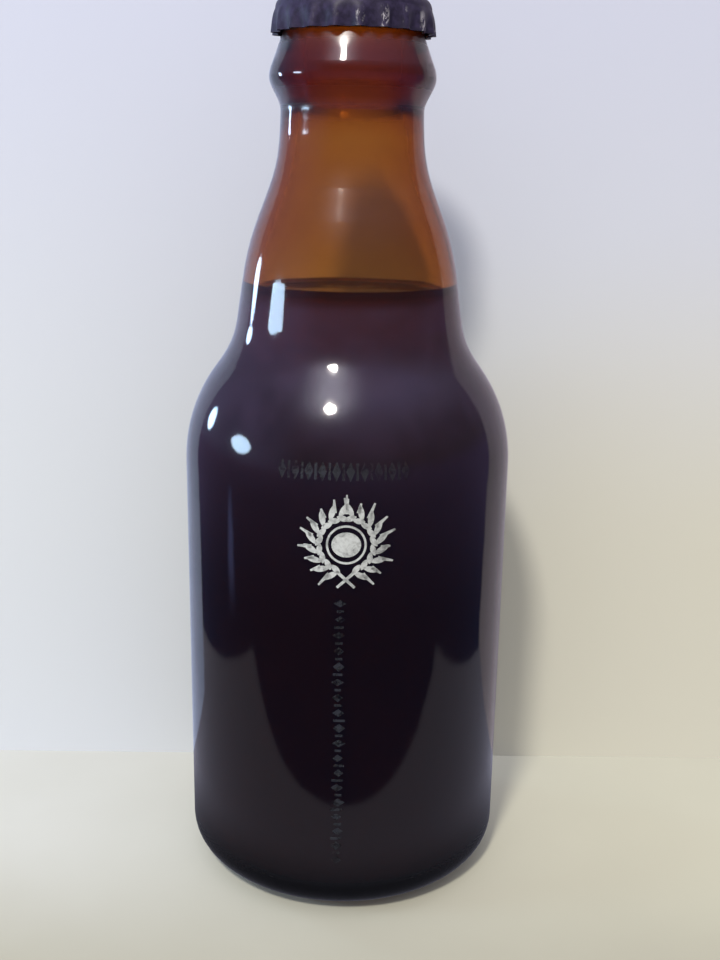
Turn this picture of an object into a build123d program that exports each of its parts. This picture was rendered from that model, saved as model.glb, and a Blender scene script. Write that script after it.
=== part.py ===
"""A small stubby beer bottle: amber glass with a swelling neck, filled with dark beer and shut with a crown.

Frame: +Z is up, the origin is the centre of the ring that the bottle stands on, and lengths are in mm.
The glass is one turned wall. Its side is a chain of straight runs with an arc at each corner, and the
hollow is the same chain moved inwards by the wall of each run. Heights on the neck are measured down from
the lip, so a taller bottle gets a longer body under the same neck.
"""

from build123d import *
import math
import os

# Overall sizes of the glass
glass_height = 161.5
body_radius = 30.5

# Base: a flat ring to stand on, a push-up inside it and a gentle rise out to the heel
ring_inner_radius = 14.5
ring_outer_radius = 18.0
rise_angle = 8.0  # degrees above the table, from the ring out to the heel
heel_radius = 6.0
push_up = 2.6
push_up_radius = 7.0  # of the flat middle of the push-up
push_up_arc = 12.0

# Knurls: short grooves across the standing ring
knurl_count = 60
knurl_depth = 0.25
knurl_cutter_radius = 0.55
knurl_overrun = 1.2  # past each edge of the ring

# Shoulder and neck: each corner's drop below the lip, its radius from the axis and its arc
shoulder_angle = 35.5  # degrees from the axis
shoulder_arc = 28.5
neck_root_drop = 59.0
neck_root_radius = 21.33
neck_root_arc = 15.6
swell_drop = 41.9
swell_radius = 18.76
swell_arc = 50.0
waist_drop = 27.2
waist_radius = 13.1
waist_arc = 28.0

# Finish: the collar, the groove under the lip and the lip that the crown grips
finish_height = 17.6
collar_foot_radius = 12.65
collar_foot_arc = 4.0
collar_bottom_drop = 13.6
collar_bottom_arc = 3.3
collar_radius = 14.7
collar_top_drop = 11.9
collar_top_arc = 4.5
groove_drop = 5.4
groove_radius = 12.2
groove_arc = 1.0
lip_bottom_drop = 4.0
lip_bottom_arc = 0.7
lip_radius = 13.3
lip_arc = 1.9
mouth_arc = 1.2

# Walls and hollow
body_wall = 2.1
shoulder_wall = 2.2
swell_wall = 2.5
neck_wall = 2.9
base_wall = 3.6
heel_floor = 3.8  # height of the hollow's lowest corner, beside the heel
heel_hollow_arc = 7.0
floor_flat_radius = 9.0
floor_arc = 30.0
bore_radius = 8.6
bore_length = 15.5
bore_flare_length = 7.0
bore_arc = 10.0

# Beer
fill_drop = 49.4  # of the beer's surface below the lip

# Crown: pressed steel shell with outward flutes, closed over the lip
crown_height = 6.0
crown_steel = 0.24
crown_gap = 0.06  # between the lip and the inside of the skirt
crown_edge_ease = 0.14  # how much tighter the crown's inside edge is than the lip's
crown_turn_in = 0.3  # of the skirt, from the lip's bottom to the rim
flute_count = 21
flute_spread = 0.85  # how far the flutes' tips stand out of the skirt, at the rim
flute_narrowness = 1.3
flute_steps = 10  # points per flute


def limited_arcs(points, arcs):
    """The arc radii, each no larger than its two runs have room for."""
    turns, spans = [], []
    for before, corner, after in zip(points, points[1:], points[2:]):
        turns.append(math.radians((corner - before).get_angle(after - corner)))
    for start, end in zip(points, points[1:]):
        spans.append((end - start).length)
    tangents = [arc * math.tan(turn / 2) for arc, turn in zip(arcs, turns)]
    needed = [0.0] + tangents + [0.0]
    room = [0.98 * span / max(needed[i] + needed[i + 1], span * 1e-6) for i, span in enumerate(spans)]
    return [arc * min(1.0, room[i], room[i + 1]) for i, arc in enumerate(arcs)]


def rounded_path(points, arcs):
    """Straight runs through the points, first to last, with an arc at every corner between them."""
    return FilletPolyline(*points, radius=limited_arcs(points, arcs))


def moved_in(start, end, wall):
    """The run from start to end, moved towards the axis by the wall. Runs go upwards on the outside."""
    along = (end - start).normalized()
    inward = Vector(-along.Z, 0, along.X)
    return start + inward * wall, end + inward * wall


def crossing(first, second):
    """The point where two runs in the XZ plane, made longer as needed, meet."""
    (a, b), (c, d) = first, second
    u, v = b - a, d - c
    share = ((c.X - a.X) * v.Z - (c.Z - a.Z) * v.X) / (u.X * v.Z - u.Z * v.X)
    return a + u * share


def side_corners():
    """Corners of the outside of the glass, from the standing ring up to the collar's foot."""
    heel_z = (body_radius - ring_outer_radius) * math.tan(math.radians(rise_angle))
    shoulder_rise = (body_radius - neck_root_radius) / math.tan(math.radians(shoulder_angle))
    neck_root_z = glass_height - neck_root_drop
    return [
        Vector(ring_outer_radius, 0, 0),
        Vector(body_radius, 0, heel_z),
        Vector(body_radius, 0, neck_root_z - shoulder_rise),
        Vector(neck_root_radius, 0, neck_root_z),
        Vector(swell_radius, 0, glass_height - swell_drop),
        Vector(waist_radius, 0, glass_height - waist_drop),
        Vector(collar_foot_radius, 0, glass_height - finish_height),
    ]


def finish_corners():
    """Corners of the collar, the groove and the lip, from above the collar's foot to the mouth's edge."""
    return [
        Vector(collar_radius, 0, glass_height - collar_bottom_drop),
        Vector(collar_radius, 0, glass_height - collar_top_drop),
        Vector(groove_radius, 0, glass_height - groove_drop),
        Vector(lip_radius, 0, glass_height - lip_bottom_drop),
        Vector(lip_radius, 0, glass_height),
        Vector(bore_radius, 0, glass_height),
    ]


def hollow_corners():
    """Corners of the hollow, from the mouth down to the middle of its floor."""
    side = side_corners()
    walls = [body_wall, shoulder_wall, swell_wall, neck_wall, neck_wall]
    body, flank, swell, flare, waist = [
        moved_in(start, end, wall) for start, end, wall in zip(side[1:], side[2:], walls)
    ]
    bore_end = glass_height - bore_length
    flare_end = bore_end - bore_flare_length
    flare_floor = (Vector(0, 0, flare_end), Vector(1, 0, flare_end))
    floor_z = push_up + base_wall
    return [
        Vector(bore_radius, 0, glass_height),
        Vector(bore_radius, 0, bore_end),
        crossing(waist, flare_floor),
        crossing(flare, waist),
        crossing(swell, flare),
        crossing(flank, swell),
        crossing(body, flank),
        Vector(body_radius - body_wall, 0, heel_floor),
        Vector(floor_flat_radius, 0, floor_z),
        Vector(0, 0, floor_z),
    ]


def turned(path, closing):
    """The solid made by turning the path about the axis, closed through the given points."""
    start, end = path @ 0, path @ 1
    rest = Polyline(end, *closing, start)
    return revolve(make_face([*path.edges(), *rest.edges()]), Axis.Z)


def make_hollow():
    """Everything inside the glass, from the floor to the level of the mouth."""
    arcs = [
        bore_arc,
        bore_arc,
        waist_arc + neck_wall,
        swell_arc - swell_wall,
        neck_root_arc + shoulder_wall,
        shoulder_arc - body_wall,
        heel_hollow_arc,
        floor_arc,
    ]
    path = rounded_path(hollow_corners(), arcs)
    return turned(path, [Vector(0, 0, glass_height)])


def make_knurls():
    """Cutters for the grooves across the standing ring."""
    length = ring_outer_radius - ring_inner_radius + 2 * knurl_overrun
    middle = (ring_outer_radius + ring_inner_radius) / 2
    cutter = Cylinder(knurl_cutter_radius, length, rotation=(0, 90, 0))
    cutter = Pos(middle, 0, knurl_depth - knurl_cutter_radius) * cutter
    return [Rot(0, 0, 360 * i / knurl_count) * cutter for i in range(knurl_count)]


def make_glass():
    """The bottle's wall: turned outside, less the push-up, the hollow and the knurls."""
    corners = side_corners() + finish_corners()
    arcs = [
        heel_radius,
        shoulder_arc,
        neck_root_arc,
        swell_arc,
        waist_arc,
        collar_foot_arc,
        collar_bottom_arc,
        collar_top_arc,
        groove_arc,
        lip_bottom_arc,
        lip_arc,
    ]
    outside = turned(rounded_path(corners, arcs), [Vector(0, 0, glass_height), Vector(0, 0, 0)])
    dimple_points = [
        Vector(ring_inner_radius, 0, 0),
        Vector(push_up_radius, 0, push_up),
        Vector(0, 0, push_up),
    ]
    dimple = turned(rounded_path(dimple_points, [push_up_arc]), [Vector(0, 0, 0)])
    wall = outside - dimple - make_hollow()
    mouth = wall.edges().filter_by(GeomType.CIRCLE).filter_by(
        lambda edge: abs(edge.radius - bore_radius) < 1e-4 and abs(edge.center().Z - glass_height) < 1e-4
    )
    room = lip_radius - lip_arc - bore_radius
    wall = fillet(mouth, min(mouth_arc, 0.9 * room))
    return wall - make_knurls()


def make_beer():
    """The beer: the hollow up to the fill level."""
    surface = glass_height - fill_drop
    reach = 2 * body_radius
    below = Pos(0, 0, surface / 2) * Box(reach, reach, surface)
    return make_hollow() & below


def crown_levels(steel):
    """Heights of the crown's skirt, from where the edge's arc ends down to the rim."""
    rim = glass_height + crown_steel - crown_height
    return [
        glass_height - lip_arc + crown_edge_ease,
        glass_height - lip_bottom_drop,
        (glass_height - lip_bottom_drop + rim) / 2,
        rim,
    ]


def fluted_ring(level, top, rim, steel):
    """The skirt's outline at one level. Flutes start at the top level and stand out furthest at the rim."""
    skirt = lip_radius + crown_gap + crown_steel - steel
    grip = glass_height - lip_bottom_drop
    turned_in = crown_turn_in * max(0.0, grip - level) / (grip - rim)
    spread = (flute_spread + crown_turn_in) * (top - level) / (top - rim)
    points = []
    for i in range(flute_count * flute_steps):
        angle = 2 * math.pi * i / (flute_count * flute_steps)
        crest = (0.5 + 0.5 * math.cos(flute_count * angle)) ** flute_narrowness
        radius = skirt - turned_in + spread * crest
        points.append((radius * math.cos(angle), radius * math.sin(angle), level))
    return make_face(Spline(*points, periodic=True))


def crown_body(steel):
    """The crown as a solid lump, with every face moved inwards by the steel's thickness."""
    levels = crown_levels(steel)
    top, rim = levels[0], levels[-1]
    skirt = lip_radius + crown_gap + crown_steel - steel
    face_z = glass_height + crown_steel - steel
    points = [Vector(0, 0, face_z), Vector(skirt, 0, face_z), Vector(skirt, 0, top)]
    arc = lip_arc - crown_edge_ease + crown_steel - steel
    dome = turned(FilletPolyline(*points, radius=0.999 * arc), [Vector(0, 0, top)])
    return dome + loft([fluted_ring(level, top, rim, steel) for level in levels])


def make_crown():
    """The crown: its outside less its inside."""
    return crown_body(0.0) - crown_body(crown_steel)


def main():
    os.makedirs("parts", exist_ok=True)
    pieces = {"glass_bottle": make_glass(), "beer": make_beer(), "crown_cap": make_crown()}
    for name, piece in pieces.items():
        export_step(piece, f"parts/{name}.step")
        print(name, "volume", round(piece.volume / 1000, 2), "ml, box", piece.bounding_box().size)


main()
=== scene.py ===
"""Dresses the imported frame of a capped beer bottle: amber glass, dark beer, a lacquered crown and print.

The glass and the crown keep their own meshes and get finishes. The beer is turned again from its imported
shape, a little wider, so that it wets the glass. The print lies on the glass as thin enamel. Lengths are
in metres, +Z is up, and the printed side faces -Y.
"""

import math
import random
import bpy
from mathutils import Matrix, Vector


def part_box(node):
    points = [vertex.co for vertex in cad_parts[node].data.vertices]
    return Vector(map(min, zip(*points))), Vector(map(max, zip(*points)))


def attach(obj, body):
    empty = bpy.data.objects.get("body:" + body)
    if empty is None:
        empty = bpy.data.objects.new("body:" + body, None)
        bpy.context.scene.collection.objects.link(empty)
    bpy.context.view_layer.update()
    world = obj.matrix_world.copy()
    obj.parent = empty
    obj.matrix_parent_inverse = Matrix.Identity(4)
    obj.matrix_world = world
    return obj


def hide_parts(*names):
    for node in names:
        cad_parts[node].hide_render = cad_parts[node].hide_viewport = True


bl_info = {
    "name": "Capped Beer Bottle",
    "version": (1, 0, 0),
    "blender": (4, 5, 0),
    "location": "3D View > Sidebar > Bottle",
    "description": "Finishes, beer, print and stage for a short amber glass beer bottle",
    "category": "Object",
}

import bmesh
import bpy
from bpy.props import FloatProperty, FloatVectorProperty, IntProperty, PointerProperty
from mathutils import Matrix, Vector
from mathutils.bvhtree import BVHTree

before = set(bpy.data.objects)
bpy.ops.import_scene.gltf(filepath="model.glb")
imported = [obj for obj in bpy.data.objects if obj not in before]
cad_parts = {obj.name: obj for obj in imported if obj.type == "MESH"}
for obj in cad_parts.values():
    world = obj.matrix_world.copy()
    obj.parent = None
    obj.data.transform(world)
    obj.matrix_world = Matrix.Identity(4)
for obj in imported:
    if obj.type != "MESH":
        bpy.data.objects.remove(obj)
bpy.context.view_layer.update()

MM = 0.001
BODY = "root"
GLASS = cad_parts["glass_bottle"]
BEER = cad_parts["beer"]
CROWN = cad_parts["crown_cap"]
GLASS_LOW, GLASS_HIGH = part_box("glass_bottle")
BEER_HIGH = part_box("beer")[1]
CROWN_LOW, CROWN_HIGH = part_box("crown_cap")
GLASS_RADIUS = (GLASS_HIGH.x - GLASS_LOW.x) / 2
FLUTE_COUNT = 21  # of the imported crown
ENAMEL_SINK = 0.04 * MM  # how far the print reaches into the glass
ENAMEL_SLICE = 0.6 * MM  # width of the strips that let the print bend round the glass
BLACK = (0.0, 0.0, 0.0)

# Painted reflections: made-up colours that only mirrors see in place of the lit stage: a dim blue room, a
# pale sheet round the bottle and a close wall
ROOM_LOW = (0.19, 0.16, 0.34)
ROOM_BELOW = (0.05, 0.065, 0.15)
ROOM_BY_HEIGHT = (  # 0.5 is level and 1 is straight up
    (0.50, ROOM_LOW),
    (0.57, (0.15, 0.13, 0.18)),
    (0.70, (0.20, 0.17, 0.26)),
    (0.80, (0.35, 0.32, 0.50)),
    (0.88, (0.58, 0.52, 0.90)),
    (0.95, (0.90, 0.75, 1.25)),
)
WINDOW_SIDE = (0.28, 0.29, 0.55)
# Painted window light on the mirrored room's floor
WINDOW_GLEAM_PAINTED = (0.42, 0.50, 1.10)
# Painted shade on the mirrored sheet close to the bottle's foot; the lit sheet further out
SHEET_CLOSE_PAINTED_SHADE = (0.11, 0.11, 0.14)
SHEET_AWAY = (0.34, 0.34, 0.44)
# Tints of the mirrored wall: painted bluish window light on the left, painted duller shade on the right
WALL_LEFT_PAINTED_LIGHT = (0.58, 0.66, 0.90)
WALL_RIGHT_PAINTED_SHADE = (0.54, 0.50, 0.58)


# Shader building


def add_node(tree, kind, settings=None, sockets=None):
    """Add one node. Its settings come first, then each socket's value or link, by name or place."""
    node = tree.nodes.new(kind)
    for key, value in (settings or {}).items():
        if key == "stops":
            elements = node.color_ramp.elements
            while len(elements) < len(value):
                elements.new(1.0)
            for element, (position, colour) in zip(elements, value):
                element.position = position
                element.color = (*colour, 1.0)
        else:
            setattr(node, key, value)
    for key, value in (sockets or {}).items():
        source = getattr(value, "socket", value)
        if isinstance(source, bpy.types.NodeSocket):
            tree.links.new(source, node.inputs[key])
        else:
            node.inputs[key].default_value = source
    return node


class Signal:
    """A number that runs through a shader. Sums written on it add Math nodes."""

    def __init__(self, socket):
        self.socket = socket

    def math(self, operation, *terms):
        tree = self.socket.id_data
        sockets = dict(enumerate(terms))
        return Signal(add_node(tree, "ShaderNodeMath", {"operation": operation}, sockets).outputs[0])

    def __add__(self, other):
        return self.math("ADD", self, other)

    def __radd__(self, other):
        return self.math("ADD", other, self)

    def __sub__(self, other):
        return self.math("SUBTRACT", self, other)

    def __rsub__(self, other):
        return self.math("SUBTRACT", other, self)

    def __mul__(self, other):
        return self.math("MULTIPLY", self, other)

    def __rmul__(self, other):
        return self.math("MULTIPLY", other, self)

    def __pow__(self, other):
        return self.math("POWER", self, other)

    def __gt__(self, other):
        return self.math("GREATER_THAN", self, other)

    def __lt__(self, other):
        return self.math("LESS_THAN", self, other)

    def __abs__(self):
        return self.math("ABSOLUTE", self)

    def cosine(self):
        return self.math("COSINE", self)

    def rise(self, low, high):
        """0 below low, 1 above high, with a smooth step between them. Low may be the larger."""
        tree = self.socket.id_data
        sockets = {"Value": self, "From Min": low, "From Max": high}
        step = {"interpolation_type": "SMOOTHSTEP"}
        return Signal(add_node(tree, "ShaderNodeMapRange", step, sockets).outputs["Result"])


def place(tree):
    """The position on the part, in metres, as a vector socket and its three numbers."""
    vector = add_node(tree, "ShaderNodeTexCoord").outputs["Object"]
    parts = add_node(tree, "ShaderNodeSeparateXYZ", None, {"Vector": vector}).outputs
    return vector, Signal(parts["X"]), Signal(parts["Y"]), Signal(parts["Z"])


def noise(tree, vector, scale, detail=3.0, roughness=0.5, distortion=0.0):
    """Soft patches, from 0 to 1. The scale is in patches per metre."""
    sockets = {
        "Vector": vector,
        "Scale": scale,
        "Detail": detail,
        "Roughness": roughness,
        "Distortion": distortion,
    }
    return Signal(add_node(tree, "ShaderNodeTexNoise", None, sockets).outputs["Fac"])


def stretched(tree, vector, factors):
    """The vector with each of its numbers multiplied, so that a pattern on it is drawn out."""
    sockets = {0: vector, 1: factors}
    return add_node(tree, "ShaderNodeVectorMath", {"operation": "MULTIPLY"}, sockets).outputs[0]


def blend_colours(tree, factor, first, second):
    """First where the factor is 0, second where it is 1. The node's colours are sockets 6 and 7."""
    first = first if isinstance(first, bpy.types.NodeSocket) else (*first, 1.0)
    second = second if isinstance(second, bpy.types.NodeSocket) else (*second, 1.0)
    sockets = {0: factor, 6: first, 7: second}
    return add_node(tree, "ShaderNodeMix", {"data_type": "RGBA"}, sockets).outputs[2]


def bump(tree, height, strength, distance):
    """A normal that follows the height, whose full range is the distance in metres."""
    sockets = {"Height": height, "Strength": strength, "Distance": distance}
    return add_node(tree, "ShaderNodeBump", None, sockets).outputs["Normal"]


def new_finish(name):
    """An empty material with its tree and its output node."""
    material = bpy.data.materials.new(name)
    material.use_nodes = True
    material.node_tree.nodes.clear()
    output = add_node(material.node_tree, "ShaderNodeOutputMaterial")
    return material, material.node_tree, output


def principled(tree, output, sockets):
    """A Principled shader that is linked to the output."""
    shader = add_node(tree, "ShaderNodeBsdfPrincipled", None, sockets)
    tree.links.new(shader.outputs["BSDF"], output.inputs["Surface"])
    return shader


def dress(node, material):
    """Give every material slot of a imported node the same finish."""
    for slot in node.material_slots:
        slot.material = material


# Shapes


def surface_of(node):
    """The node's mesh, ready to be met by rays."""
    return BVHTree.FromObject(node, bpy.context.evaluated_depsgraph_get())


def new_piece(name, mesh, material):
    """A visible piece on the bottle's one body."""
    piece = bpy.data.objects.new(name, mesh)
    bpy.context.scene.collection.objects.link(piece)
    mesh.materials.append(material)
    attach(piece, BODY)
    return piece


def turned_mesh(name, profile, sides):
    """A closed mesh turned about the axis from (radius, height) points, whose two ends are on the axis."""
    vertices = [(0.0, 0.0, profile[0][1])]
    for radius, height in profile[1:-1]:
        for i in range(sides):
            angle = 2 * math.pi * i / sides
            vertices.append((radius * math.cos(angle), radius * math.sin(angle), height))
    vertices.append((0.0, 0.0, profile[-1][1]))
    rings = len(profile) - 2
    last = len(vertices) - 1
    faces = []
    for i in range(sides):
        j = (i + 1) % sides
        faces.append((0, 1 + j, 1 + i))
        for ring in range(rings - 1):
            low = 1 + ring * sides
            high = low + sides
            faces.append((low + i, low + j, high + j, high + i))
        top = 1 + (rings - 1) * sides
        faces.append((top + i, top + j, last))
    mesh = bpy.data.meshes.new(name)
    mesh.from_pydata(vertices, [], faces)
    mesh.shade_smooth()
    return mesh


def ellipse(centre, length, width, angle, points=16, point_sharpness=1.0):
    """An ellipse's outline. A sharpness above 1 points its ends, and four points make a lozenge."""
    outline = []
    for i in range(points):
        turn = 2 * math.pi * i / points
        along = math.cos(turn) * length / 2
        across = math.copysign(abs(math.sin(turn)) ** point_sharpness, math.sin(turn)) * width / 2
        x = centre[0] + along * math.cos(angle) - across * math.sin(angle)
        y = centre[1] + along * math.sin(angle) + across * math.cos(angle)
        outline.append((x, y))
    return outline


def stroke(start, end, width, taper=0.5):
    """A straight stroke's outline, whose end is as wide as its start times the taper."""
    run = (Vector(end) - Vector(start)).normalized()
    side = Vector((-run.y, run.x)) * width / 2
    start, end = Vector(start), Vector(end)
    return [tuple(start - side), tuple(end - side * taper), tuple(end + side * taper), tuple(start + side)]


def ring_band(centre, radius, width, points=40):
    """A ring as a row of four-sided outlines."""
    outlines = []
    for i in range(points):
        quad = []
        for turn, reach in ((i, -0.5), (i, 0.5), (i + 1, 0.5), (i + 1, -0.5)):
            angle = 2 * math.pi * turn / points
            r = radius + reach * width
            quad.append((centre[0] + r * math.cos(angle), centre[1] + r * math.sin(angle)))
        outlines.append(quad)
    return outlines


def settled_mesh(name, source, caps):
    """A mesh with its points and its rims in a fixed order, which extruding doesn't leave them in."""
    points = sorted({tuple(vertex.co) for vertex in source.verts})
    numbers = {point: number for number, point in enumerate(points)}
    cap_rings, rim_rings = [], []
    for face in source.faces:
        ring = [numbers[tuple(vertex.co)] for vertex in face.verts]
        rings = cap_rings if face in caps else rim_rings
        rings.append(ring)
    mesh = bpy.data.meshes.new(name)
    mesh.from_pydata(points, [], cap_rings + sorted(rim_rings))
    return mesh


def enamel_mesh(name, outlines, lift):
    """Flat outlines, (across, height) in metres, wrapped on the glass and made solid.

    Each is cut into upright slices first, so that its face bends with the glass.
    """
    flat = bmesh.new()
    for outline in outlines:
        flat.faces.new([flat.verts.new((x, y, 0.0)) for x, y in outline])
    bmesh.ops.remove_doubles(flat, verts=flat.verts, dist=1e-6)
    low = min(v.co.x for v in flat.verts)
    high = max(v.co.x for v in flat.verts)
    for i in range(1, int((high - low) / ENAMEL_SLICE) + 1):
        everything = flat.verts[:] + flat.edges[:] + flat.faces[:]
        cut = (low + i * ENAMEL_SLICE, 0, 0)
        bmesh.ops.bisect_plane(flat, geom=everything, dist=1e-7, plane_co=cut, plane_no=(1, 0, 0))
    # The copies are the outer face, and their z marks them until they are wrapped
    inner = flat.faces[:]
    outer = bmesh.ops.extrude_face_region(flat, geom=inner)["geom"]
    for vertex in outer:
        if isinstance(vertex, bmesh.types.BMVert):
            vertex.co.z = 1.0
    glass = surface_of(GLASS)
    for vertex in flat.verts:
        angle = vertex.co.x / GLASS_RADIUS
        outward = Vector((math.sin(angle), -math.cos(angle), 0.0))
        origin = outward * 2 * GLASS_RADIUS + Vector((0, 0, vertex.co.y))
        hit = glass.ray_cast(origin, -outward)[0]
        vertex.co = hit + outward * (lift if vertex.co.z > 0.5 else -ENAMEL_SINK)
    bmesh.ops.recalc_face_normals(flat, faces=flat.faces)
    mesh = settled_mesh(name, flat, {*inner, *outer})
    flat.free()
    return mesh


# Settings


def colour_property(name, description, default):
    return FloatVectorProperty(
        name=name, description=description, default=default, subtype="COLOR", size=3, min=0.0, max=1.0
    )


def length_property(name, description, default):
    return FloatProperty(
        name=name, description=description, default=default, subtype="DISTANCE", unit="LENGTH", precision=5
    )


class BottleGlassSettings(bpy.types.PropertyGroup):
    tint: colour_property("Tint", "Colour that the glass lets through", (0.778, 0.513, 0.0))
    depth: FloatProperty(
        name="Depth of tint", description="How strongly each metre of glass absorbs", default=748.0, min=0.0
    )
    index: FloatProperty(name="Refractive index", description="Of the glass", default=1.52, min=1.0)
    roughness: FloatProperty(
        name="Roughness", description="Of clean glass", default=0.075, min=0.0, max=1.0, subtype="FACTOR"
    )
    waviness: length_property("Waviness", "Depth of the soft unevenness of the surface", 0.00025)
    seam_drop: length_property("Seam drop", "Of the rougher neck ring seam below the lip", 0.0163)
    # Partly real dust and partly a painted haze of glare round the highlights
    dust_and_glare: colour_property("Dust", "Of the thin film on the shoulder", (0.46, 0.32, 0.62))
    dust_and_glare_share: FloatProperty(
        name="Dust share", description="How much the film hides", default=0.036, min=0.0, max=1.0
    )


class BottleBeerSettings(bpy.types.PropertyGroup):
    colour: colour_property("Colour", "Of the beer behind the glass", (0.023, 0.011, 0.016))
    # Painted glow of light through the thin beer in the neck
    neck_painted_glow: colour_property("Neck colour", "Where the beer is thin enough to glow", (0.11, 0.036, 0.03))
    top_colour: colour_property("Top colour", "Of the flat of the level", (0.018, 0.008, 0.006))
    # Painted glow of light through the thin beer that climbs the glass
    rim_painted_glow: colour_property("Rim colour", "Of the thin edge that climbs the glass", (0.20, 0.06, 0.03))
    wetting: length_property("Wetting", "How far the beer reaches into the glass", 0.00025)
    meniscus: length_property("Meniscus", "How far the beer climbs the glass", 0.0010)
    sides: IntProperty(name="Sides", description="Of the turned mesh", default=144, min=24)


class BottleCrownSettings(bpy.types.PropertyGroup):
    lacquer: colour_property("Lacquer", "Blue-black lacquer on the steel", (0.016, 0.012, 0.030))
    steel: colour_property("Bare steel", "Where the lacquer is worn through", (0.62, 0.60, 0.60))
    roughness: FloatProperty(
        name="Roughness", description="Of the lacquer", default=0.40, min=0.0, max=1.0, subtype="FACTOR"
    )


class BottlePrintSettings(bpy.types.PropertyGroup):
    enamel: colour_property("Enamel", "White of the emblem", (0.62, 0.65, 0.63))
    worn: colour_property("Worn enamel", "Of the faded borders", (0.026, 0.029, 0.036))
    emblem_height: length_property("Emblem height", "Of the emblem's centre above the table", 0.0725)
    emblem_radius: length_property("Emblem radius", "Out to the tips of the beards", 0.0087)
    row_height: length_property("Row height", "Of the row of lozenges above the table", 0.0850)
    row_start: length_property("Row start", "Of the first lozenge, round the glass from the front", -0.0112)
    row_width: length_property("Row width", "From the first lozenge to the last", 0.0212)
    column_across: length_property("Column across", "Of the upright border, from the front", -0.0010)
    column_top: length_property("Column top", "Of the upright border", 0.0620)
    column_foot: length_property("Column foot", "Of the upright border", 0.0125)
    lift: length_property("Lift", "Of the enamel above the glass", 0.00006)


class BottleStageSettings(bpy.types.PropertyGroup):
    floor: colour_property("Floor", "Cream sheet on the table", (0.735, 0.725, 0.55))
    # Painted light: the table is cooler and paler on the left
    floor_left_painted_light: colour_property("Left of the floor", "Further from the lamp", (0.75, 0.76, 0.68))
    # Painted shade: the table darkens towards the camera
    floor_front_painted_shade: colour_property("Front of the floor", "Nearer to the camera", (0.50, 0.485, 0.37))
    wall: colour_property("Wall", "Pale wall close behind", (0.708, 0.736, 0.755))
    # Painted shade: dimmer and bluer higher on the wall
    wall_top_painted_shade: colour_property("Wall top", "Higher on the wall", (0.608, 0.635, 0.75))
    # Painted warm light on the lower right of the wall
    wall_warm_painted_light: colour_property("Warm wall", "Lower right of the wall", (0.708, 0.698, 0.59))
    sky: colour_property("Surroundings", "Behind everything", (0.68, 0.69, 0.80))
    ambient: FloatProperty(name="Ambient", description="Light from all round", default=0.62, min=0.0)
    key: FloatProperty(name="Key lamp", description="Power", default=5.9, min=0.0, subtype="POWER")
    window: FloatProperty(name="Window", description="Radiance of each pane", default=20.0, min=0.0)
    stage_reach: length_property("Stage reach", "From the bottle to the table's edge, and up the wall", 3.0)
    sheet_side: length_property("Sheet side", "From the bottle to the side of the mirrored sheet", 0.128)
    sheet_front: length_property("Sheet front", "From the bottle to the front of the mirrored sheet", 0.069)
    wall_seen_left: length_property("Wall seen left", "How far to the left mirrors see the wall", 0.092)
    wall_seen_right: length_property("Wall seen right", "How far to the right mirrors see the wall", 0.135)
    wall_gap: length_property("Wall gap", "From the back of the glass to the wall's foot", 0.0007)
    wall_lean: FloatProperty(
        name="Wall lean", description="Backwards", default=math.radians(5.2), subtype="ANGLE"
    )
    camera_distance: length_property("Camera distance", "From the bottle's axis", 0.211)
    camera_height: length_property("Camera height", "Above the table", 0.1325)
    camera_pitch: FloatProperty(
        name="Pitch", description="Downwards", default=math.radians(15.1), subtype="ANGLE"
    )
    camera_turn: FloatProperty(
        name="Turn", description="To the right", default=math.radians(0.67), subtype="ANGLE"
    )
    camera_roll: FloatProperty(
        name="Roll", description="Of the camera", default=math.radians(-0.98), subtype="ANGLE"
    )
    lens: FloatProperty(name="Lens", description="Focal length in millimetres", default=42.56, min=1.0)


# Operators


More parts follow.
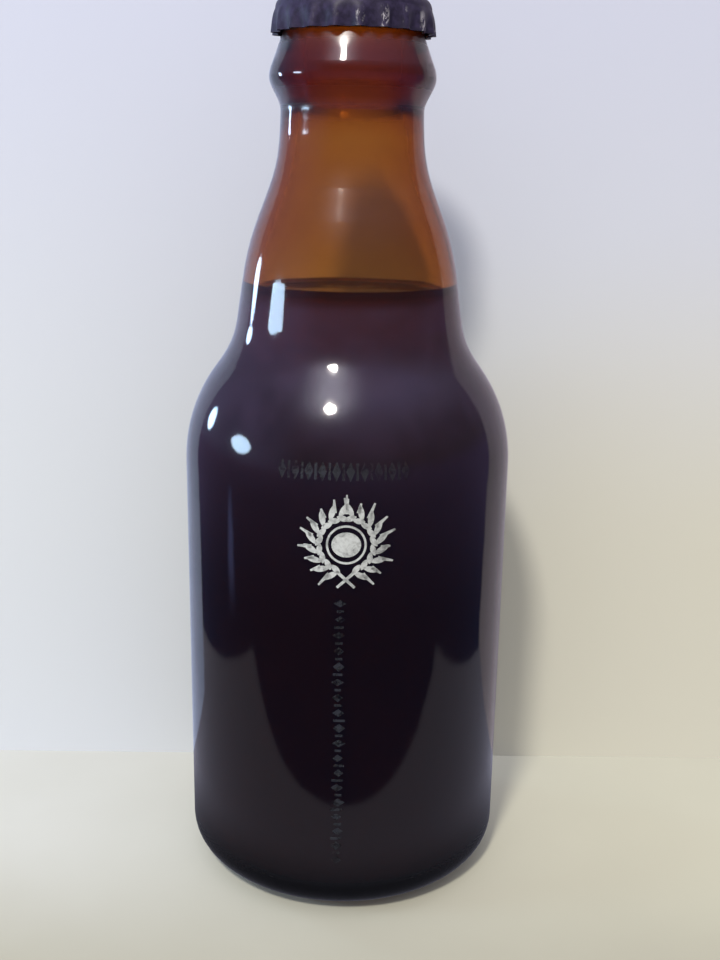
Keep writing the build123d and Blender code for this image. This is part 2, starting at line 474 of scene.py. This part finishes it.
class BOTTLE_OT_dress_glass(bpy.types.Operator):
    """Give the bottle its amber glass"""

    bl_idname = "bottle.dress_glass"
    bl_label = "Dress Glass"

    def execute(self, context):
        made = context.scene.bottle_glass
        material, tree, output = new_finish("amber_glass")
        vector, _, _, z = place(tree)
        swell = noise(tree, vector, 55.0, 2.0)
        handling = noise(tree, vector, 160.0, 6.0, 0.7).rise(0.52, 0.78)
        speckle = noise(tree, vector, 2600.0, 2.0, 0.6).rise(0.60, 0.80)
        # Bottles rub each other where the shoulder and the heel meet the body
        shoulder_belt = abs(z - 79 * MM).rise(6 * MM, 0.0)
        heel_belt = abs(z - 10 * MM).rise(5 * MM, 0.0)
        scuffs = (shoulder_belt + heel_belt) * speckle * 0.16
        # The neck is less even at its ring seam and close under the crown
        seam = abs(z - (GLASS_HIGH.z - made.seam_drop)).rise(3 * MM, 1 * MM) * 0.22
        under_crown = z.rise(GLASS_HIGH.z - 9.5 * MM, GLASS_HIGH.z - 6.6 * MM) * 0.24
        roughness = handling * 0.05 + scuffs + seam + under_crown + made.roughness
        glass = principled(
            tree,
            output,
            {
                "Base Color": (1.0, 1.0, 1.0, 1.0),
                "Roughness": roughness,
                "IOR": made.index,
                "Transmission Weight": 1.0,
                "Coat Weight": seam * 2.0,
                "Coat Roughness": 0.08,
                "Coat IOR": 1.5,
                "Normal": bump(tree, swell, 0.35, made.waviness),
            },
        )
        chalky = {"Base Color": (*made.dust_and_glare, 1.0), "Roughness": 1.0, "Specular IOR Level": 0.0}
        dust_and_glare = add_node(tree, "ShaderNodeBsdfPrincipled", None, chalky)
        # The film on the shoulder is partly real dust and partly a painted lavender haze of glare
        shoulder = z.rise(78 * MM, 95 * MM) * z.rise(BEER_HIGH.z, BEER_HIGH.z - 2.6 * MM)
        patches = noise(tree, vector, 85.0, 4.0, 0.6, 0.4).rise(0.30, 0.70) * 0.7 + 0.5
        cover = shoulder * patches * made.dust_and_glare_share
        layers = {0: cover, 1: glass.outputs["BSDF"], 2: dust_and_glare.outputs["BSDF"]}
        film = add_node(tree, "ShaderNodeMixShader", None, layers)
        tree.links.new(film.outputs["Shader"], output.inputs["Surface"])
        absorption = {"Color": (*made.tint, 1.0), "Density": made.depth}
        volume = add_node(tree, "ShaderNodeVolumeAbsorption", None, absorption)
        tree.links.new(volume.outputs["Volume"], output.inputs["Volume"])
        dress(GLASS, material)
        return {"FINISHED"}


class BOTTLE_OT_pour_beer(bpy.types.Operator):
    """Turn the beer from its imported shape, just wide enough to wet the glass"""

    bl_idname = "bottle.pour_beer"
    bl_label = "Pour Beer"

    def profile(self, made):
        """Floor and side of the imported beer, moved outwards, then the meniscus and the flat top.

        The points are (radius, height), and start and end on the axis.
        """
        packed = surface_of(BEER)
        level = BEER_HIGH.z
        hub = 20 * MM
        just_below = level - 0.02 * MM
        floor_rays, side_rows, rim_rows = 40, 90, 12
        outline = []
        # The floor and the heel are met by a fan of rays from the hub, and the side by level rays
        for i in range(1, floor_rays + 1):
            angle = -math.pi / 2 * (1 - i / (floor_rays + 1))
            way = Vector((math.cos(angle), 0.0, math.sin(angle)))
            hit = packed.ray_cast(Vector((0, 0, hub)), way)[0]
            outline.append(Vector((hit.x, hit.z)))
        for i in range(side_rows + 1):
            height = hub + (just_below - hub) * i / side_rows
            hit = packed.ray_cast(Vector((0, 0, height)), Vector((1, 0, 0)))[0]
            outline.append(Vector((hit.x, height)))
        moved = []
        for i, point in enumerate(outline):
            before = outline[max(i - 1, 0)]
            after = outline[min(i + 1, len(outline) - 1)]
            run = (after - before).normalized()
            moved.append(point + Vector((run.y, -run.x)) * made.wetting)
        floor = packed.ray_cast(Vector((0, 0, hub)), Vector((0, 0, -1)))[0].z - made.wetting
        side = [(0.0, floor)] + [(p.x, p.y) for p in moved[:-1]]
        rim = moved[-1].x
        fade = 1.1 * MM
        top = []
        # The rows stand closer together near the glass, where the climb is steep
        for i in range(rim_rows + 1):
            inward = 4.5 * fade * (i / rim_rows) ** 1.6
            climb = made.meniscus * math.exp(-inward / fade)
            top.append((rim - inward, level + climb))
        inner = top[-1][0]
        top += [(inner * share, level) for share in (0.8, 0.6, 0.4, 0.2)]
        return side + top + [(0.0, level)]

    def body_finish(self, made):
        """The beer behind the glass, with a painted glow in the neck, where it is thin."""
        material, tree, output = new_finish("dark_beer")
        vector, _, _, z = place(tree)
        cloud = noise(tree, vector, 38.0, 3.0)
        dim, bright = [0.8 * c for c in made.colour], [1.2 * c for c in made.colour]
        deep = blend_colours(tree, cloud, dim, bright)
        # Painted glow: the beer turns redder and lighter towards the neck
        glow = z.rise(BEER_HIGH.z - 16 * MM, BEER_HIGH.z - 4 * MM)
        with_painted_glow = blend_colours(tree, glow, deep, made.neck_painted_glow)
        # Painted shade: a darker band just under the level
        edge = z.rise(BEER_HIGH.z - 0.8 * MM, BEER_HIGH.z)
        with_painted_shade_band = blend_colours(tree, edge, with_painted_glow, [0.7 * c for c in made.neck_painted_glow])
        principled(tree, output, {"Base Color": with_painted_shade_band, "Roughness": 0.6, "Specular IOR Level": 0.0})
        return material

    def top_finish(self, made):
        """The wet level, with a painted redder glow where it climbs the glass."""
        material, tree, output = new_finish("beer_surface")
        _, _, _, z = place(tree)
        # Painted glow where the beer climbs the glass
        rim = z.rise(BEER_HIGH.z + 0.1 * made.meniscus, BEER_HIGH.z + 0.5 * made.meniscus)
        wet = {
            "Base Color": blend_colours(tree, rim, made.top_colour, made.rim_painted_glow),
            "Roughness": 0.08,
            "Specular IOR Level": 0.4,
            "IOR": 1.34,
        }
        principled(tree, output, wet)
        return material

    def execute(self, context):
        made = context.scene.bottle_beer
        mesh = turned_mesh("beer_fill", self.profile(made), made.sides)
        piece = new_piece("beer_fill", mesh, self.body_finish(made))
        mesh.materials.append(self.top_finish(made))
        for face in mesh.polygons:
            on_top = face.center.z > BEER_HIGH.z - 0.01 * MM and face.normal.z > 0.5
            face.material_index = 1 if on_top else 0
        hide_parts("beer")
        return {"FINISHED"}


class BOTTLE_OT_dress_crown(bpy.types.Operator):
    """Lacquer the crown, with bare steel where its flutes are scuffed"""

    bl_idname = "bottle.dress_crown"
    bl_label = "Dress Crown"

    def execute(self, context):
        made = context.scene.bottle_crown
        material, tree, output = new_finish("crown_lacquer")
        vector, x, y, z = place(tree)
        around = y.math("ARCTAN2", y, x)
        crest = (around * float(FLUTE_COUNT)).cosine() * 0.5 + 0.5
        skirt = z.rise(CROWN_HIGH.z - 1.2 * MM, CROWN_HIGH.z - 2.6 * MM)
        low = z.rise(CROWN_HIGH.z - 2.2 * MM, CROWN_LOW.z + 1.2 * MM)
        patches = noise(tree, vector, 280.0, 4.0, 0.6)
        spots = noise(tree, vector, 95.0, 2.0).rise(0.30, 0.46)
        turned = {"Vector": vector, "Angle": 0.5}
        slanted = add_node(tree, "ShaderNodeVectorRotate", {"rotation_type": "X_AXIS"}, turned).outputs[0]
        scratches = noise(tree, stretched(tree, slanted, (1.0, 1.0, 0.28)), 1100.0, 4.0, 0.75, 0.6)
        # The lacquer is worn off the flutes' crests, more to the right, and off a few spots of the top
        worn_side = x.rise(-8 * MM, 1 * MM)
        worn = spots * patches.rise(0.44, 0.56) * scratches.rise(0.47, 0.56) * worn_side
        flutes = crest.rise(0.62, 0.95) * low * worn
        face = (1.0 - skirt) * scratches.rise(0.64, 0.70) * patches.rise(0.45, 0.62)
        bare = flutes + face * 0.6
        mottle = noise(tree, vector, 900.0, 4.0, 0.6)
        dull = [2.4 * c for c in made.lacquer]
        lacquer = blend_colours(tree, mottle.rise(0.30, 0.75), made.lacquer, dull)
        height = noise(tree, vector, 1300.0, 3.0) * 0.6 - bare * 0.4
        principled(
            tree,
            output,
            {
                "Base Color": blend_colours(tree, bare, lacquer, made.steel),
                "Metallic": bare * 0.7,
                "Roughness": mottle * 0.2 + made.roughness,
                "Specular IOR Level": 0.3,
                "Normal": bump(tree, height, 0.4, 0.06 * MM),
            },
        )
        dress(CROWN, material)
        return {"FINISHED"}


class BOTTLE_OT_print_emblem(bpy.types.Operator):
    """Print the white emblem: a wreath of bearded grain round a plain disc"""

    bl_idname = "bottle.print_emblem"
    bl_label = "Print Emblem"

    def outlines(self, made):
        """Disc, ring, two ears of grain that meet at the top, their beards and their crossed stalks.

        They are drawn round (0, 0) with their tips at 8.7, and then brought to size.
        """
        random.seed(11)
        tip = 8.7
        grains = 9
        lowest, fan = -68, 150
        rows = (  # each row's step round, distance out, grain length, grain width and lean
            (0.00, 4.65, 2.1, 1.00, -0.40),
            (0.06, 6.10, 2.9, 1.05, 0.95),
        )
        shapes = [ellipse((0, 0), 5.0, 4.4, 0.0, 28)]
        shapes += ring_band((0, 0), 3.25, 0.36)
        for side in (-1, 1):
            for i in range(grains):
                turn = math.radians(lowest + fan * i / (grains - 1))
                for step, reach, length, width, lean in rows:
                    at = turn + step
                    centre = (side * reach * math.cos(at), reach * math.sin(at))
                    tilt = at + math.pi / 2 - lean + random.uniform(-0.10, 0.10)
                    way = tilt if side > 0 else math.pi - tilt
                    shapes.append(ellipse(centre, length, width, way, 16, 1.6))
                beard = turn + 0.12
                outer = 8.3 + random.uniform(-0.8, 0.4)
                bend = 0.07 + random.uniform(-0.05, 0.05)
                start = (side * 5.9 * math.cos(beard), 5.9 * math.sin(beard))
                end = (side * outer * math.cos(beard + bend), outer * math.sin(beard + bend))
                shapes.append(stroke(start, end, 0.70, 0.45))
            shapes.append(stroke((side * 1.6, -4.7), (-side * 1.5, -7.6), 0.55, 0.8))
        shapes.append(stroke((0.0, 5.4), (0.0, tip), 0.55))
        scale = made.emblem_radius / tip
        return [[(x * scale, y * scale + made.emblem_height) for x, y in shape] for shape in shapes]

    def execute(self, context):
        made = context.scene.bottle_print
        material, tree, output = new_finish("white_enamel")
        vector, x, _, _ = place(tree)
        grain = noise(tree, vector, 1500.0, 4.0, 0.65)
        wear = noise(tree, vector, 430.0, 5.0, 0.7, 0.5)
        # Darker where the enamel is worn and grainy, and darker towards the right in painted shade
        worn = wear.rise(0.44, 0.66) * 0.55 + grain.rise(0.40, 0.75) * 0.30 + x.rise(0.0, 8 * MM) * 0.25
        dull = [0.25 * c for c in made.enamel]
        principled(
            tree,
            output,
            {
                "Base Color": blend_colours(tree, worn, made.enamel, dull),
                "Roughness": grain * 0.2 + 0.38,
                "Alpha": 1.0 - grain.rise(0.62, 0.72) * wear.rise(0.50, 0.62),
                "Normal": bump(tree, grain, 0.4, 0.04 * MM),
            },
        )
        mesh = enamel_mesh("emblem", self.outlines(made), made.lift)
        new_piece("emblem", mesh, material)
        return {"FINISHED"}


class BOTTLE_OT_print_borders(bpy.types.Operator):
    """Print the faded borders: a row of lozenges on the shoulder and a column of them below the emblem"""

    bl_idname = "bottle.print_borders"
    bl_label = "Print Borders"

    def row(self, made):
        """Lozenges with an upright bar between each two."""
        shapes = []
        lozenges = 10
        step = made.row_width / (lozenges - 1)
        reach = 1.4 * MM
        for i in range(lozenges):
            x = made.row_start + step * i
            shapes.append(ellipse((x, made.row_height), 3.3 * MM, 1.5 * MM, math.pi / 2, 4))
            if i < lozenges - 1:
                foot = (x + step / 2, made.row_height - reach)
                top = (x + step / 2, made.row_height + reach)
                shapes.append(stroke(foot, top, 0.45 * MM, 1.0))
        return shapes

    def column(self, made):
        """Lozenges with a level bar between each two."""
        random.seed(4)
        shapes = []
        lozenges = 18
        step = (made.column_top - made.column_foot) / (lozenges - 1)
        for i in range(lozenges):
            x = made.column_across + random.uniform(-0.2, 0.2) * MM
            height = made.column_foot + step * i
            length, width = random.uniform(1.7, 2.5) * MM, random.uniform(1.1, 1.7) * MM
            shapes.append(ellipse((x, height), length, width, 0.0, 4))
            if i < lozenges - 1:
                reach = random.uniform(0.5, 1.1) * MM
                between = height + step / 2
                shapes.append(stroke((x - reach, between), (x + reach, between), 0.42 * MM, 1.0))
        return shapes

    def execute(self, context):
        made = context.scene.bottle_print
        material, tree, output = new_finish("worn_enamel")
        vector, x, _, z = place(tree)
        wear = noise(tree, vector, 800.0, 4.0, 0.7)
        patches = noise(tree, vector, 150.0, 3.0)
        rubbed = [0.4 * c for c in made.worn]
        lost = x.rise(-8 * MM, 8 * MM) * z.rise(76 * MM, 80 * MM)
        in_column = z.rise(70 * MM, 64 * MM)
        faint = wear.rise(0.35, 0.65) * 0.5 + lost * 0.5 + in_column * patches.rise(0.42, 0.58) * 0.45
        principled(
            tree,
            output,
            {
                "Base Color": blend_colours(tree, faint, made.worn, rubbed),
                "Roughness": wear * 0.3 + 0.35,
                "Alpha": wear.rise(0.68, 0.45) * patches.rise(0.70, 0.40) * (1.0 - lost * 0.6),
            },
        )
        for name, shapes in (("border_row", self.row(made)), ("border_column", self.column(made))):
            mesh = enamel_mesh(name, shapes, made.lift)
            new_piece(name, mesh, material)
        return {"FINISHED"}


class BOTTLE_OT_set_stage(bpy.types.Operator):
    """Set the table, the wall close behind, the light and the camera"""

    bl_idname = "bottle.set_stage"
    bl_label = "Set Stage"

    def sheet(self, name, corners, material):
        """One flat face of the stage."""
        mesh = bpy.data.meshes.new(name)
        mesh.from_pydata(corners, [], [tuple(range(len(corners)))])
        mesh.materials.append(material)
        sheet = bpy.data.objects.new(name, mesh)
        bpy.context.scene.collection.objects.link(sheet)
        return sheet

    def floor(self, made):
        """A wide table. For reflections it glows with painted colours: a pale sheet round the bottle, in
        painted shade close to its foot, and a dark room past its edges.
        """
        material, tree, output = new_finish("table")
        vector, x, y, _ = place(tree)
        away = (x * x + y * y) ** 0.5
        on_sheet = (abs(x) < made.sheet_side) * (y > -made.sheet_front)
        room = blend_colours(tree, away.rise(0.15, 0.34), ROOM_BELOW, ROOM_LOW)
        # Painted shade close to the bottle's foot, on the sheet that mirrors see
        sheet = blend_colours(tree, away.rise(0.033, 0.055), SHEET_CLOSE_PAINTED_SHADE, SHEET_AWAY)
        unlit = blend_colours(tree, on_sheet, room, sheet)
        # A painted strip of daylight on the room's floor, far out at the left, that only mirrors see
        gleam = x.rise(-0.155, -0.23) * x.rise(-0.34, -0.26) * abs(y + 0.029).rise(0.014, 0.003)
        seen = blend_colours(tree, gleam, unlit, WINDOW_GLEAM_PAINTED)
        # Painted shade: the table is darker towards the camera, and more so at the front left
        front = y.rise(0.0, -0.07) * 0.9 + y.rise(0.01, -0.04) * x.rise(0.0, -0.14) * 0.35
        mottle = noise(tree, vector, 25.0, 4.0) * 0.3 + front * away.rise(0.50, 0.20)
        # Painted light: the table turns cooler and paler to the left
        across = blend_colours(tree, x.rise(-0.07, 0.07), made.floor_left_painted_light, made.floor)
        shade = blend_colours(tree, mottle, across, made.floor_front_painted_shade)
        mirrored = self.mirrored(tree)
        principled(
            tree,
            output,
            {
                "Base Color": blend_colours(tree, mirrored, shade, BLACK),
                "Roughness": 1.0,
                "Specular IOR Level": 0.0,
                "Emission Color": blend_colours(tree, mirrored, BLACK, seen),
                "Emission Strength": 1.0,
            },
        )
        reach = made.stage_reach
        corners = [(-reach, -reach, 0), (reach, -reach, 0), (reach, reach, 0), (-reach, reach, 0)]
        self.sheet("table", corners, material)

    def wall(self, made):
        """A wall that shows from the front only. Reflections see no more of it than is close by."""
        material, tree, output = new_finish("wall")
        vector, x, _, z = place(tree)
        # Painted shade: the wall turns dimmer and bluer higher up
        pale = blend_colours(tree, z.rise(0.05, 0.20), made.wall, made.wall_top_painted_shade)
        mottle = noise(tree, vector, 18.0, 4.0) * 0.25
        # Painted warm light on the lower right of the wall, unevenly mottled
        painted_warm_light = x.rise(-0.06, 0.06) * z.rise(0.125, 0.045)
        plain = blend_colours(tree, painted_warm_light * 0.9 + mottle * painted_warm_light, pale, made.wall_warm_painted_light)
        # Mirrors see the wall with painted bluish light on the left and painted duller shade on the right
        mirrored_painted_light_and_shade = blend_colours(tree, x.rise(-0.03, 0.03), WALL_LEFT_PAINTED_LIGHT, WALL_RIGHT_PAINTED_SHADE)
        mirrored = self.mirrored(tree)
        colour = blend_colours(tree, mirrored, plain, mirrored_painted_light_and_shade)
        behind = Signal(add_node(tree, "ShaderNodeNewGeometry").outputs["Backfacing"])
        far = mirrored * (1.0 - (x > -made.wall_seen_left) * (x < made.wall_seen_right))
        alpha = 1.0 - behind.math("MAXIMUM", behind, far)
        principled(
            tree,
            output,
            {"Base Color": colour, "Roughness": 1.0, "Specular IOR Level": 0.0, "Alpha": alpha},
        )
        reach = height = made.stage_reach
        foot = GLASS_HIGH.y + made.wall_gap
        top = foot + height * math.tan(made.wall_lean)
        corners = [(-reach, foot, 0), (reach, foot, 0), (reach, top, height), (-reach, top, height)]
        wall = self.sheet("wall", corners, material)
        wall.visible_shadow = False
        wall.visible_diffuse = False

    def world(self, made, halo_way):
        """Pale all round, but reflections see a dim room that is brighter above, and round the key lamp."""
        world = bpy.data.worlds.new("surroundings")
        bpy.context.scene.world = world
        world.use_nodes = True
        tree = world.node_tree
        tree.nodes.clear()
        direction = add_node(tree, "ShaderNodeTexCoord").outputs["Generated"]
        parts = add_node(tree, "ShaderNodeSeparateXYZ", None, {"Vector": direction}).outputs
        up = Signal(parts["Z"])
        across = Signal(parts["X"])
        stops = {"stops": ROOM_BY_HEIGHT}
        dim = add_node(tree, "ShaderNodeValToRGB", stops, {0: up * 0.5 + 0.5}).outputs[0]
        window_side = across.rise(-0.45, -0.95) * up.rise(-0.1, 0.1) * up.rise(0.85, 0.6)
        room = blend_colours(tree, window_side, dim, WINDOW_SIDE)
        ways = {0: direction, 1: halo_way}
        dot = add_node(tree, "ShaderNodeVectorMath", {"operation": "DOT_PRODUCT"}, ways)
        nearness = Signal(dot.outputs["Value"])
        halo = nearness.math("MAXIMUM", nearness, 0.0) ** 40.0 * 4.5
        summed = {0: room, 1: self.tinted(tree, halo, (1.0, 0.98, 1.12))}
        seen = add_node(tree, "ShaderNodeVectorMath", {"operation": "ADD"}, summed).outputs[0]
        paths = add_node(tree, "ShaderNodeLightPath").outputs
        is_lit = Signal(paths["Is Diffuse Ray"])
        ambient = [made.ambient * share for share in (1.0, 0.975, 1.14)]
        unmirrored = blend_colours(tree, is_lit, made.sky, ambient)
        colour = blend_colours(tree, self.mirrored(tree), unmirrored, seen)
        background = add_node(tree, "ShaderNodeBackground", None, {"Color": colour, "Strength": 1.0})
        output = add_node(tree, "ShaderNodeOutputWorld")
        tree.links.new(background.outputs[0], output.inputs["Surface"])

    def mirrored(self, tree):
        """1 for rays that only mirrors throw, 0 for those that pass through glass, and for the rest."""
        paths = add_node(tree, "ShaderNodeLightPath").outputs
        return Signal(paths["Is Glossy Ray"]) * (1.0 - Signal(paths["Is Transmission Ray"]))

    def tinted(self, tree, amount, colour):
        """The colour, as strong as the amount."""
        sockets = {0: colour, "Scale": amount}
        return add_node(tree, "ShaderNodeVectorMath", {"operation": "SCALE"}, sockets).outputs[0]

    def lamp(self, name, way, distance, size, power, colour):
        """An area lamp aimed at the bottle. Mirrors show it, but the camera and the glass don't."""
        light = bpy.data.lights.new(name, "AREA")
        light.shape = "ELLIPSE"
        light.size, light.size_y = size
        light.energy = power
        light.color = colour
        lamp = bpy.data.objects.new(name, light)
        bpy.context.scene.collection.objects.link(lamp)
        aim = Vector((0, 0, 100 * MM))
        lamp.location = aim + way * distance
        lamp.rotation_euler = way.to_track_quat("Z", "Y").to_euler()
        lamp.visible_camera = False
        lamp.visible_transmission = False

    def way(self, turn, rise):
        """The direction that is turned from the front to the right, and raised, in degrees."""
        turn, rise = math.radians(turn), math.radians(rise)
        return Vector((math.sin(turn) * math.cos(rise), -math.cos(turn) * math.cos(rise), math.sin(rise)))

    def camera(self, made):
        """The camera, in front of the bottle and a little above the middle of its height."""
        pitch, turn, roll = made.camera_pitch, made.camera_turn, made.camera_roll
        forward = Vector(
            (math.sin(turn) * math.cos(pitch), math.cos(turn) * math.cos(pitch), -math.sin(pitch))
        )
        right = Vector((math.cos(turn), -math.sin(turn), 0.0))
        down = forward.cross(right)
        across = math.cos(roll) * right + math.sin(roll) * down
        upward = math.sin(roll) * right - math.cos(roll) * down
        data = bpy.data.cameras.new("camera")
        data.sensor_width = 36.0
        data.lens = made.lens
        camera = bpy.data.objects.new("camera", data)
        bpy.context.scene.collection.objects.link(camera)
        turned = Matrix((across, upward, -forward)).transposed().to_4x4()
        moved = Matrix.Translation((0, -made.camera_distance, made.camera_height))
        camera.matrix_world = moved @ turned
        data.clip_start = 0.01
        bpy.context.scene.camera = camera

    def execute(self, context):
        made = context.scene.bottle_stage
        self.floor(made)
        self.wall(made)
        self.world(made, halo_way=self.way(-20.0, 56.0))
        warm_white, daylight = (1.0, 0.95, 0.88), (0.55, 0.76, 1.0)
        self.lamp("key", self.way(-17.0, 46.5), 1.0, (0.12, 0.12), made.key, warm_white)
        panes = (("near", -78.0, 0.140, 0.075), ("far", -115.0, 0.068, 0.075))
        for name, turn, width, height in panes:
            area = math.pi / 4 * width * height
            power = made.window * math.pi * area
            self.lamp("window_" + name, self.way(turn, 6.5), 0.45, (width, height), power, daylight)
        self.camera(made)
        context.scene.view_settings.view_transform = "Standard"
        return {"FINISHED"}


STEPS = (
    BOTTLE_OT_set_stage,
    BOTTLE_OT_dress_glass,
    BOTTLE_OT_pour_beer,
    BOTTLE_OT_dress_crown,
    BOTTLE_OT_print_emblem,
    BOTTLE_OT_print_borders,
)

SETTINGS = (
    ("bottle_stage", BottleStageSettings),
    ("bottle_glass", BottleGlassSettings),
    ("bottle_beer", BottleBeerSettings),
    ("bottle_crown", BottleCrownSettings),
    ("bottle_print", BottlePrintSettings),
)


class BOTTLE_PT_panel(bpy.types.Panel):
    """Lists the steps that dress the bottle, and their settings"""

    bl_idname = "BOTTLE_PT_panel"
    bl_label = "Capped Beer Bottle"
    bl_space_type = "VIEW_3D"
    bl_region_type = "UI"
    bl_category = "Bottle"

    def draw(self, context):
        for step in STEPS:
            self.layout.operator(step.bl_idname)
        for name, group in SETTINGS:
            box = self.layout.box()
            for key in group.__annotations__:
                box.prop(getattr(context.scene, name), key)


def register():
    for name, group in SETTINGS:
        bpy.utils.register_class(group)
        setattr(bpy.types.Scene, name, PointerProperty(type=group))
    for item in (*STEPS, BOTTLE_PT_panel):
        bpy.utils.register_class(item)


def unregister():
    for item in (BOTTLE_PT_panel, *reversed(STEPS)):
        bpy.utils.unregister_class(item)
    for name, group in reversed(SETTINGS):
        delattr(bpy.types.Scene, name)
        bpy.utils.unregister_class(group)


def main():
    register()
    for step in STEPS:
        space, name = step.bl_idname.split(".")
        getattr(getattr(bpy.ops, space), name)()


if __name__ == "__main__":
    main()
